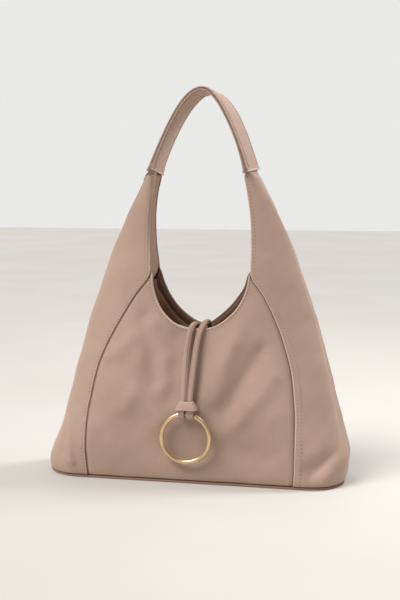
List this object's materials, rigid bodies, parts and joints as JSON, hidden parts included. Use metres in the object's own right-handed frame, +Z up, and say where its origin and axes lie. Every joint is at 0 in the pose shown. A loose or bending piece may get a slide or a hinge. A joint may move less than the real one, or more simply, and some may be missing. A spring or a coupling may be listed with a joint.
{
  "type": "shoulder bag",
  "caption": "Slouchy open-topped leather shoulder bag with wrap-round wings rising to one arched strap, and a leather tie over its front rim that ends in a metal ring.",
  "frame": {"origin": "middle of the underside of the base, where the bag stands", "axes": "+Z up, along the longest side; the front with the tie faces -Y; +X to the right as seen from the front; depth, the shortest side, along Y"},
  "size_m": [0.3689, 0.1219, 0.4657],
  "materials": {
    "suede": "taupe suede with a soft nap and topstitching",
    "leather_trim": "the same leather in a darker, flatter shade on facings, base and tab",
    "dark_lining": "plain dark brown woven lining",
    "tie_leather": "suede sewn into round cords, a wrapped keeper and two loops",
    "gold_metal": "polished pale gold plating"
  },
  "bodies": {
    "bag": {"left_wing": "suede", "right_wing": "suede", "front_panel": "suede", "back_panel": "suede", "strap_outer": "suede", "strap_inner": "suede", "base_panel": "leather_trim", "front_facing": "leather_trim", "back_facing": "leather_trim", "left_riser_facing": "leather_trim", "right_riser_facing": "leather_trim", "tie_tab": "leather_trim", "lining": "dark_lining", "tie_cord_left": "tie_leather", "tie_cord_right": "tie_leather", "keeper": "tie_leather", "ring_loop_left": "tie_leather", "ring_loop_right": "tie_leather"},
    "ring": {"ring": "gold_metal"}
  },
  "joints": [
    {"name": "ring_swing", "type": "hinge", "parent": "bag", "child": "ring", "pos_m": [-0.0018, -0.0591, 0.0855], "axis": [-1, 0, 0], "range_deg": [-4, 90]}
  ]
}
